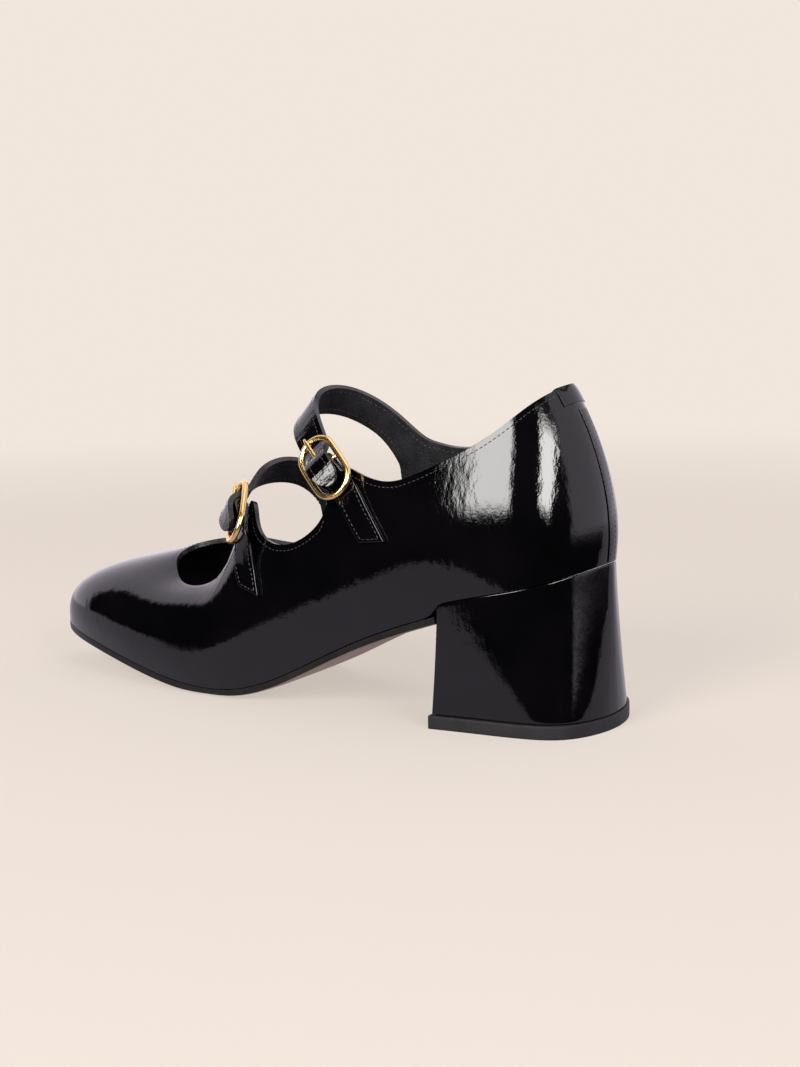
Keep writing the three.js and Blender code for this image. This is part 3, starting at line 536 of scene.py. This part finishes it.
# where each buckle sits, which way its strap runs down, and which way it faces
buckles = {
    "front": {"x": 137.3, "y": 19, "z": 66.6, "down": (-0.346, 0.683, -0.644), "face": (0.66, 0.665, 0.351)},
    "rear": {"x": 95.6, "y": 25.9, "z": 84.6, "down": (-0.72, 0.348, -0.607), "face": (0.11, 0.91, 0.4)},
}
buckleSizes = {"halfLength": 12, "halfWidth": 6.8, "wire": 1.1, "bar": 1.0, "prong": 0.7, "gap": 0.3,
               "eyeFrom": 300, "eyeTo": 95, "eyeSteps": 12,
               "prongPast": 1.4, "prongDrop": 0.2, "prongTip": 0.65}


def buckleAxes(buckle):
    up = -Vector(buckle["down"]).normalized()
    across = up.cross(Vector(buckle["face"])).normalized()
    return up, across, across.cross(up)


def atBuckle(buckle, up, across, out):
    axes = buckleAxes(buckle)
    centre = inShoe(buckle["x"], buckle["y"], buckle["z"])
    return centre + (axes[0] * up + axes[1] * across + axes[2] * out) * mm


# free part of each strap: middle of its outer face, and how it leans and swings across, in degrees
strapRows = {
    "rear": [(94.4, -21, 93, 28, -2), (98.8, -18, 97.8, 34, -2), (104.2, -13.4, 102.3, 42, 0),
             (109, -7.6, 105.2, 48, 0), (113.4, -1, 106, 51, 0), (115.4, 5.6, 104.2, 51, 4),
             (113.2, 11.8, 100.4, 47, 9), (109, 16.2, 96.2, 43, 12)],
    "front": [(129.8, -19.2, 75.8, 32, -4), (133.2, -14.2, 78.4, 40, 0), (136, -8, 79.6, 46, 0),
              (138.2, -1.4, 79.4, 48, 0), (139.7, 5, 77.5, 45, -16)],
}
# where a strap runs through its buckle: up from the bar, out from it, and its width as a share
strapEnd = [(12, -2.4, 0.9), (8.8, -1.5, 0.84), (6.2, 0.8, 0.8), (4.2, 3.0, 0.8), (2.2, 4.5, 0.8),
            (-0.4, 5.2, 0.8), (-3.2, 5.0, 0.8), (-6, 4.1, 0.72), (-8.2, 3.1, 0.5), (-9.3, 2.6, 0.2)]
strapRoots = {"rear": (90.3, -23.1, 87.8), "front": (126.2, -22.5, 72.4)}
upperSizes = {"strapWidth": 11.6, "strapThickness": 2.0, "earReach": 8.5, "earFacing": 0.55,
              "edgeRound": 0.42, "corner": 68}
outerSkin, innerSkin = 1, 2


# the frame's mesh is a grid cut into triangles: the three directions of its edges are followed from
# triangle to triangle, and the longest of them, the diagonals, goes
def dropDiagonals(work):
    work.faces.ensure_lookup_table()
    family = {edge: i for i, edge in enumerate(work.faces[0].edges)}
    seen, queue = {work.faces[0]}, [work.faces[0]]
    while queue:
        face = queue.pop()
        for edge in face.edges:
            for other in edge.link_faces:
                if other in seen:
                    continue
                for side in other.edges:
                    if side is edge:
                        continue
                    end = next(vertex for vertex in side.verts if vertex in edge.verts)
                    twin = next(e for e in face.edges if e is not edge and end not in e.verts)
                    family[side] = family[twin]
                seen.add(other)
                queue.append(other)
    lengths = [sum(edge.calc_length() for edge, kind in family.items() if kind == i) for i in range(3)]
    longest = lengths.index(max(lengths))
    bpy.ops.mesh.select_mode(type="EDGE")
    for edge, kind in family.items():
        edge.select_set(kind == longest)
    bpy.ops.mesh.dissolve_edges(use_verts=False, use_face_split=False)


# marks which vertices lie on the outer skin and which on the inner one: the two largest smooth areas
def markSkins(piece):
    work = editOn(piece)
    left, areas = set(work.faces), []
    for start in work.faces:
        if start not in left:
            continue
        left.remove(start)
        area, queue = [start], [start]
        while queue:
            face = queue.pop()
            for edge in face.edges:
                if edge.calc_face_angle(0) < math.radians(upperSizes["corner"]):
                    for other in edge.link_faces:
                        if other in left:
                            left.remove(other)
                            area.append(other)
                            queue.append(other)
        areas.append(area)
    areas.sort(key=lambda area: -sum(face.calc_area() for face in area))
    work.verts.layers.int.new("strap")
    layer = work.verts.layers.int.new("skin")
    for vertex in work.verts:
        vertex[layer] = 0
    for value, area in ((outerSkin, areas[0]), (innerSkin, areas[1])):
        for face in area:
            for vertex in face.verts:
                vertex[layer] = vertex[layer] or value
    unmarked = [vertex for vertex in work.verts if vertex[layer] == 0]
    while unmarked:
        for vertex in unmarked:
            near = [edge.other_vert(vertex)[layer] for edge in vertex.link_edges]
            for value in (outerSkin, innerSkin):
                if near.count(value) >= 3:
                    vertex[layer] = value
        before = len(unmarked)
        unmarked = [vertex for vertex in unmarked if vertex[layer] == 0]
        if len(unmarked) == before:
            break
    print("skins:", [len(area) for area in areas[:6]], "unmarked", len(unmarked))
    bmesh.update_edit_mesh(piece.data)
    editOff()


def strapStations(name):
    stations = []
    for x, y, z, lean, swing in strapRows[name]:
        lean, swing = math.radians(lean), math.radians(swing)
        level = -math.cos(lean)
        across = Vector((level * math.cos(swing), level * math.sin(swing), math.sin(lean)))
        stations.append([inShoe(x, y, z), across, 1.0])
    buckle = buckles[name]
    for up, out, width in strapEnd:
        stations.append([atBuckle(buckle, up, 0, out), buckleAxes(buckle)[1], width])
    return stations


# pulls the end of an ear out into its strap, a station at a time
def drawStrap(piece, name):
    stations = strapStations(name)
    half, thick = upperSizes["strapWidth"] / 2 * mm, upperSizes["strapThickness"] * mm
    root = inShoe(*strapRoots[name])
    work = editOn(piece)
    layer = work.verts.layers.int["skin"]
    start = (stations[0][0] - root).normalized()
    mixed = [f for f in work.faces if len({v[layer] for v in f.verts}) > 1]
    ends = [f for f in mixed if (f.calc_center_median() - root).length < upperSizes["earReach"] * mm
            and f.normal.dot(start) > upperSizes["earFacing"]]
    print("strap", name, "grows from", len(ends), "faces")
    for face in ends:
        face.select_set(True)
    bmesh.update_edit_mesh(piece.data)
    spots = [station[0] for station in stations]
    for i, (spot, across, width) in enumerate(stations):
        bpy.ops.mesh.extrude_region()
        work = bmesh.from_edit_mesh(piece.data)
        layer = work.verts.layers.int["skin"]
        way = (spots[min(i + 1, len(spots) - 1)] - (spots[i - 1] if i else root)).normalized()
        out = way.cross(across).normalized()
        wide = half * width / across.cross(way).length
        for skin, depth in ((outerSkin, 0), (innerSkin, thick)):
            line = sorted((v for v in work.verts if v.select and v[layer] == skin),
                          key=lambda v: (v.co - spot).dot(across))
            for k, vertex in enumerate(line):
                vertex[work.verts.layers.int["strap"]] = 1
                share = 2 * k / (len(line) - 1) - 1
                vertex.co = spot + across * wide * share - out * depth
        bmesh.update_edit_mesh(piece.data)
    editOff()


def makeUpper():
    piece = copyOfNode("upper", "upper_and_straps")
    dropDiagonals(editOn(piece))
    editOff()
    markSkins(piece)
    for name in strapRows:
        drawStrap(piece, name)
    for finish in (patent, lining, edgeInk, strapPatent):
        piece.data.materials.append(finish)
    work = editOn(piece)
    layer = work.verts.layers.int["skin"]
    bpy.ops.mesh.select_mode(type="EDGE")
    for face in work.faces:
        kinds = {vertex[layer] for vertex in face.verts}
        face.material_index = 0 if kinds == {outerSkin} else 1 if kinds == {innerSkin} else 2
        face.smooth = True
    rims = [edge for edge in work.edges if len({face.material_index for face in edge.link_faces}) > 1]
    for edge in rims:
        edge.select_set(True)
    path = edgePaths(work, layer)
    strap = work.verts.layers.int["strap"]
    for face in work.faces:
        if face.material_index == 0 and all(vertex[strap] for vertex in face.verts):
            face.material_index = 3
    bmesh.update_edit_mesh(piece.data)
    bpy.ops.mesh.bevel(offset=upperSizes["edgeRound"] * mm, segments=2, profile=0.6, clamp_overlap=True)
    editOff()
    smooth(piece, 2)
    return piece, path


# the same closed line, always from its foremost point and the same way round
def inOrder(line):
    def place(vertex):
        return tuple(round(part / mm, 3) for part in vertex.co)

    start = line.index(max(line, key=place))
    line = line[start:] + line[:start]
    return line if place(line[1]) > place(line[-1]) else line[:1] + line[:0:-1]


# the outer skin's edges as closed lines, each with the way into the leather at every point
def edgePaths(work, layer):
    rim = [edge for edge in work.edges
           if {face.material_index for face in edge.link_faces} == {0, 2}]
    edges, paths = set(rim), []
    for edge in rim:
        if edge not in edges:
            continue
        edges.remove(edge)
        first, here = edge.verts
        line = [first, here]
        while True:
            onward = next((e for e in here.link_edges if e in edges), None)
            if onward is None:
                break
            edges.remove(onward)
            here = onward.other_vert(here)
            if here is first:
                break
            line.append(here)
        line = inOrder(line)
        path = []
        for i, vertex in enumerate(line):
            way = (line[(i + 1) % len(line)].co - line[i - 1].co).normalized()
            faces = [face for face in vertex.link_faces if face.material_index == 0]
            normal = sum((face.normal for face in faces), Vector()).normalized()
            middle = sum((face.calc_center_median() for face in faces), Vector()) / len(faces)
            inward = way.cross(normal).normalized()
            if inward.dot(middle - vertex.co) < 0:
                inward = -inward
            path.append((vertex.co.copy(), inward, normal))
        paths.append(path)
    return sorted(paths, key=lambda path: round(path[0][0].x / mm, 3))


# a piece's surface for rays and nearest points, its faces always split across the shorter way
def surfaceOf(piece):
    work = bmesh.new()
    work.from_mesh(piece.data)
    bmesh.ops.triangulate(work, faces=work.faces, quad_method="SHORT_EDGE")
    surface = BVHTree.FromBMesh(work)
    work.free()
    return surface


upper, upperPaths = makeUpper()
print("upper", len(upper.data.polygons), "faces,", [len(path) for path in upperPaths])
finishPiece(upper, "patent_leather", "upper", "strap_front", "strap_rear")
upperSurface = surfaceOf(upper)


# the outer side's surface at a place given by x and z, from outside
def onOuterSide(x, z):
    spot, normal, face, far = upperSurface.ray_cast(inShoe(x, 90, z), Vector((0, -1, 0)))
    return spot, normal


# one stitch, copied along lines on the leather
stitching = {"pitch": 1.75, "length": 1.35, "thick": 0.4, "flat": 0.8, "inset": 1.9, "sink": 0.05,
             "above": 0.3, "through": 2.2, "reach": 3, "lowest": 30}


def makeStitch():
    clearSelection()
    bpy.ops.mesh.primitive_uv_sphere_add(segments=6, ring_count=5, radius=stitching["thick"] / 2 * mm)
    stitch = newPiece("stitch")
    editOn(stitch)
    bpy.ops.mesh.select_all(action="SELECT")
    bpy.ops.transform.resize(value=(1, stitching["flat"], stitching["length"] / stitching["thick"]))
    editOff()
    bpy.ops.object.shade_smooth()
    stitch.data.materials.append(thread)
    return stitch


def sewLines(name, lines, surface):
    stitch = makeStitch()
    copies = []
    for line in lines:
        for spot, way in zip(*evenly(line, stitching["pitch"] * mm)):
            near, normal, face, far = surface.find_nearest(spot)
            if near is None or far > stitching["reach"] * mm:
                continue
            side = way.cross(normal).normalized()
            turn = Matrix((side, normal, way)).transposed().to_4x4()
            copy = stitch.copy()
            copy.data = stitch.data.copy()
            copy.matrix_world = Matrix.Translation(near - normal * stitching["sink"] * mm) @ turn
            bpy.context.scene.collection.objects.link(copy)
            copies.append(copy)
    clearSelection()
    for copy in copies:
        copy.select_set(True)
    bpy.context.view_layer.objects.active = copies[0]
    bpy.ops.object.join()
    row = newPiece(name)
    bpy.data.objects.remove(stitch)
    finishPiece(row, "patent_leather")


# lines beside the openings, at a depth under the outer skin; the lowest edge is the one the sole covers
def toplineLines(depth):
    lines = []
    for path in upperPaths:
        if min(spot.z for spot, inward, normal in path) < stitching["lowest"] * mm:
            continue
        points = [spot + (inward * stitching["inset"] - normal * depth) * mm for spot, inward, normal in path]
        lines.append(smoothLine(points + points[:1], 4))
    return lines


sewLines("stitching_topline", toplineLines(-stitching["above"]), upperSurface)
sewLines("stitching_lining", toplineLines(stitching["through"]), upperSurface)
print("stitching ready")


# a rounded copy of a node: the edges sharper than edgeAngle are bevelled
def softCopy(node, name, edgeAngle, offset, levels):
    piece = copyOfNode(node, name)
    editOn(piece)
    bpy.ops.mesh.select_all(action="SELECT")
    bpy.ops.mesh.tris_convert_to_quads(face_threshold=math.radians(60), shape_threshold=math.radians(120))
    bpy.ops.mesh.select_all(action="DESELECT")
    bpy.ops.mesh.select_mode(type="EDGE")
    bpy.ops.mesh.edges_select_sharp(sharpness=math.radians(edgeAngle))
    bpy.ops.mesh.bevel(offset=offset * mm, segments=2, profile=0.6, clamp_overlap=True)
    editOff()
    smooth(piece, levels)
    return piece


undersideFacing = -0.8  # faces that point further down than this are the tan underside


def makeSole():
    sole = softCopy("outsole", "sole", 28, 0.35, 2)
    for finish in (soleEdge, soleTan):
        sole.data.materials.append(finish)
    for face in sole.data.polygons:
        face.material_index = 1 if face.normal.z < undersideFacing else 0
    finishPiece(sole, "sole_leather", "outsole")


def makeBed():
    bed = softCopy("insole", "foot_bed", 35, 0.3, 2)
    bed.data.materials.append(lining)
    finishPiece(bed, "lining_leather", "insole")


def makeHeel():
    block = softCopy("heel_block", "heel_cover", 50, 0.5, 2)
    block.data.materials.append(heelPatent)
    finishPiece(block, "heel_cover", "heel_block")
    lift = softCopy("top_lift", "heel_lift", 50, 0.35, 1)
    lift.data.materials.append(rubber)
    finishPiece(lift, "heel_rubber", "top_lift")


makeSole()
makeBed()
makeHeel()
print("sole and heel ready")


# a ring drawn out into a pill, its middle bar, and the prong with its eye round the bar
def makeBuckle(place):
    buckle = buckles[place]
    up, across, out = buckleAxes(buckle)
    sizes = buckleSizes
    turn = Matrix((up, across, out)).transposed().to_4x4()
    centre = atBuckle(buckle, 0, 0, 0)
    clearSelection()
    bpy.ops.mesh.primitive_torus_add(major_radius=sizes["halfWidth"] * mm, minor_radius=sizes["wire"] * mm,
                                     major_segments=48, minor_segments=16)
    ring = newPiece("buckle_ring_" + place)
    work = editOn(ring)
    shift = (sizes["halfLength"] - sizes["halfWidth"]) * mm
    bpy.ops.mesh.select_mode(type="VERT")
    for side in (1, -1):
        for vertex in work.verts:
            vertex.select_set(vertex.co.x * side > 1e-6)
        bpy.ops.transform.translate(value=(shift * side, 0, 0))
    editOff()
    ring.matrix_world = Matrix.Translation(centre) @ turn
    smooth(ring, 1)
    ring.data.materials.append(brass)
    ends = [atBuckle(buckle, 0, sizes["halfWidth"] * k, 0) for k in (-1, -0.5, 0, 0.5, 1)]
    bar = barPiece("buckle_bar_" + place, ends, [sizes["bar"] * mm] * 5, out)
    smooth(bar, 1)
    bar.data.materials.append(brass)
    placeAtOrigin(ring)
    takeUp(bar)
    ring.select_set(True)
    bpy.context.view_layer.objects.active = ring
    bpy.ops.object.join()
    finishPiece(ring, "brass_metal", "buckle_frame_" + place)

    eye = sizes["bar"] + sizes["gap"] + sizes["prong"]
    rest = sizes["wire"] + sizes["gap"] + sizes["prong"]
    path = []
    for i in range(sizes["eyeSteps"]):
        turned = (sizes["eyeTo"] - sizes["eyeFrom"]) * i / (sizes["eyeSteps"] - 1)
        angle = math.radians(sizes["eyeFrom"] + turned)
        path.append(atBuckle(buckle, eye * math.cos(angle), 0, eye * math.sin(angle)))
    for along, height in ((4, (eye + rest) / 2), (8, rest), (sizes["halfLength"], rest),
                          (sizes["halfLength"] + sizes["prongPast"], rest - sizes["prongDrop"])):
        path.append(atBuckle(buckle, along, 0, height))
    radii = [sizes["prong"] * mm] * (len(path) - 1) + [sizes["prong"] * sizes["prongTip"] * mm]
    prong = barPiece("buckle_tongue_" + place, path, radii, across)
    smooth(prong, 1)
    prong.data.materials.append(brass)
    finishPiece(prong, "brass_metal", "buckle_prong_" + place)


# chapes, the strips that hold the buckles, from their cut end on the quarter up: x and z, the slope across
# and the half width; the folds on both sides of the bar are given as up, out and aside
chapeRows = {
    "rear": [(74.9, 60.9, 6, 5), (77.6, 64.6, 26, 4.7), (81.6, 70, 36, 4.6)],
    "front": [(127.5, 40.2, -16, 4.7), (129, 44.6, 2, 4.6), (130.6, 49.6, 12, 4.6)],
}
chapeSizes = {"thickness": 1.4, "half": 4.6, "lift": 0.35, "slot": 0.2, "edgeRound": 0.22,
              "stitchInset": 1.3, "stitchRise": 1.2, "stitchLift": 1.2,
              "wrapFrom": -90, "wrapTurn": 205, "wrapSteps": 9}
foldBefore = [(-12, -2.15, 1), (-8, -2.3, 0.5), (-4, -2.05, 0.2)]
foldAfter = [(-3.4, 1, 0.1), (-5.2, 0, 0.1), (-6.4, -0.6, 0.2)]


def makeChape(place):
    buckle = buckles[place]
    shares = [1, 0.6, chapeSizes["slot"], -chapeSizes["slot"], -0.6, -1]
    middle = (chapeSizes["lift"] + chapeSizes["thickness"] / 2) * mm
    rows = []
    for x, z, slope, half in chapeRows[place]:
        slope = math.radians(slope)
        row = []
        for share in shares:
            spot, normal = onOuterSide(x - share * half * math.cos(slope),
                                       z + share * half * math.sin(slope))
            row.append(spot + normal * middle)
        rows.append(row)
    wrap = buckleSizes["bar"] + buckleSizes["gap"] + chapeSizes["thickness"] / 2
    path = list(foldBefore)
    for i in range(chapeSizes["wrapSteps"]):
        turned = chapeSizes["wrapTurn"] * i / (chapeSizes["wrapSteps"] - 1)
        angle = math.radians(chapeSizes["wrapFrom"] + turned)
        path.append((wrap * math.cos(angle), wrap * math.sin(angle), 0))
    slotRows = range(len(rows) + len(path) - 8, len(rows) + len(path) - 1)
    path += foldAfter
    for up, out, aside in path:
        rows.append([atBuckle(buckle, up, aside + share * chapeSizes["half"], out) for share in shares])
    chape = sheetPiece("chape_strip_" + place, rows)
    work = editOn(chape)
    work.faces.ensure_lookup_table()
    across = len(shares) - 1
    for row in slotRows:
        work.faces[row * across + 2].select_set(True)
    bpy.ops.mesh.delete(type="FACE")
    editOff()
    thick = chape.modifiers.new("thickness", "SOLIDIFY")
    thick.thickness = chapeSizes["thickness"] * mm
    thick.offset = 0
    edge = chape.modifiers.new("edge", "BEVEL")
    edge.width = chapeSizes["edgeRound"] * mm
    edge.segments = 2
    edge.limit_method = "ANGLE"
    edge.angle_limit = math.radians(50)
    applyAll(chape)
    smooth(chape, 2)
    outward(chape)
    chape.data.materials.append(patent)
    finishPiece(chape, "patent_leather", "chape_" + place)
    surface = surfaceOf(chape)
    inset = 1 - chapeSizes["stitchInset"] / chapeSizes["half"]
    lines = []
    for side in (1, -1):
        line = []
        for row in rows[:len(chapeRows[place]) + 3]:
            centre = (row[2] + row[3]) / 2
            line.append(centre + (row[0 if side > 0 else -1] - centre) * inset)
        lines.append(line)
    start, end = lines[0][0].copy(), lines[1][0].copy()
    rise = (rows[1][2] - rows[0][2]).normalized() * chapeSizes["stitchRise"] * mm
    for line in lines:
        line[0] = line[0] + rise
    lines.append([start + rise, end + rise])
    lift = chapeSizes["stitchLift"] * mm
    for line in lines:
        for point in line:
            near, normal, face, far = upperSurface.find_nearest(point)
            point += normal * lift
    sewLines("stitching_chape_" + place, [smoothLine(line, 6) for line in lines], surface)


for place in buckles:
    makeBuckle(place)
    makeChape(place)
print("buckles ready")


# the strip over the back seam and the tab over its top
backStrip = {"half": 2.6, "columns": 5, "low": 54.6, "high": 104, "rows": 18, "proud": 0.35,
             "thickness": 0.6, "stitchInset": 0.8}
backTab = {"half": 7.6, "columns": 13, "proud": 0.55, "thickness": 0.8, "over": 0.1,
           "outside": (5.2, 3.6, 2.2, 1.1), "inside": (1.1, 2.2, 3.2, 4.2)}  # drops below the rim
rimSearch = {"behind": -60, "inside": 60, "above": 140, "from": 8, "step": 0.4, "steps": 40}


def behind(y, z):
    return upperSurface.ray_cast(inShoe(rimSearch["behind"], y, z), Vector((1, 0, 0)))[:2]


def inside(y, z):
    return upperSurface.ray_cast(inShoe(rimSearch["inside"], y, z), Vector((-1, 0, 0)))[:2]


def rimTop(y):
    best = None
    for step in range(rimSearch["steps"]):
        x = rimSearch["from"] + step * rimSearch["step"]
        spot = upperSurface.ray_cast(inShoe(x, y, rimSearch["above"]), Vector((0, 0, -1)))[0]
        if spot is not None and (best is None or spot.z > best.z):
            best = spot
    return best


def thickSheet(name, rows, thickness, finish):
    piece = sheetPiece(name, rows)
    thick = piece.modifiers.new("thickness", "SOLIDIFY")
    thick.thickness = thickness * mm
    thick.offset = 0
    edge = piece.modifiers.new("edge", "BEVEL")
    edge.width = 0.14 * mm
    edge.segments = 2
    edge.limit_method = "ANGLE"
    edge.angle_limit = math.radians(50)
    applyAll(piece)
    smooth(piece, 2)
    outward(piece)
    piece.data.materials.append(finish)
    return piece


def makeBack():
    size = backStrip
    rows = []
    for i in range(size["rows"]):
        z = size["low"] + (size["high"] - size["low"]) * i / (size["rows"] - 1)
        row = []
        for k in range(size["columns"]):
            y = size["half"] * (2 * k / (size["columns"] - 1) - 1)
            spot, normal = behind(y, z)
            row.append(spot + normal * (size["proud"] - size["thickness"] / 2 + 0.05) * mm)
        rows.append(row)
    strip = thickSheet("back_strip", rows, size["thickness"], patent)
    finishPiece(strip, "patent_leather")
    surface = surfaceOf(strip)
    lines = []
    for k in (0, size["columns"] - 1):
        inward = rows[0][2] - rows[0][k]
        shift = inward.normalized() * size["stitchInset"] * mm
        lines.append([row[k] + shift + Vector((-1, 0, 0)) * mm for row in rows])
    sewLines("stitching_back", [smoothLine(line, 3) for line in lines], surface)

    size = backTab
    rows = [[] for i in range(len(size["outside"]) + 1 + len(size["inside"]))]
    rim = len(size["outside"])
    for k in range(size["columns"]):
        y = size["half"] * (2 * k / (size["columns"] - 1) - 1)
        top = rimTop(y)
        height = (top.z - heelBack.z) / mm
        lift = (size["proud"] - size["thickness"] / 2) * mm
        for i, drop in enumerate(size["outside"]):
            spot, normal = behind(y, height - drop)
            rows[i].append(spot + normal * lift)
        rows[rim].append(top + Vector((0, 0, lift + size["over"] * mm)))
        for i, drop in enumerate(size["inside"]):
            spot, normal = inside(y, height - drop)
            rows[rim + 1 + i].append(spot + normal * lift)
    tab = thickSheet("back_tab", rows, size["thickness"], patent)
    finishPiece(tab, "patent_leather")


makeBack()
print("back strip and tab ready")
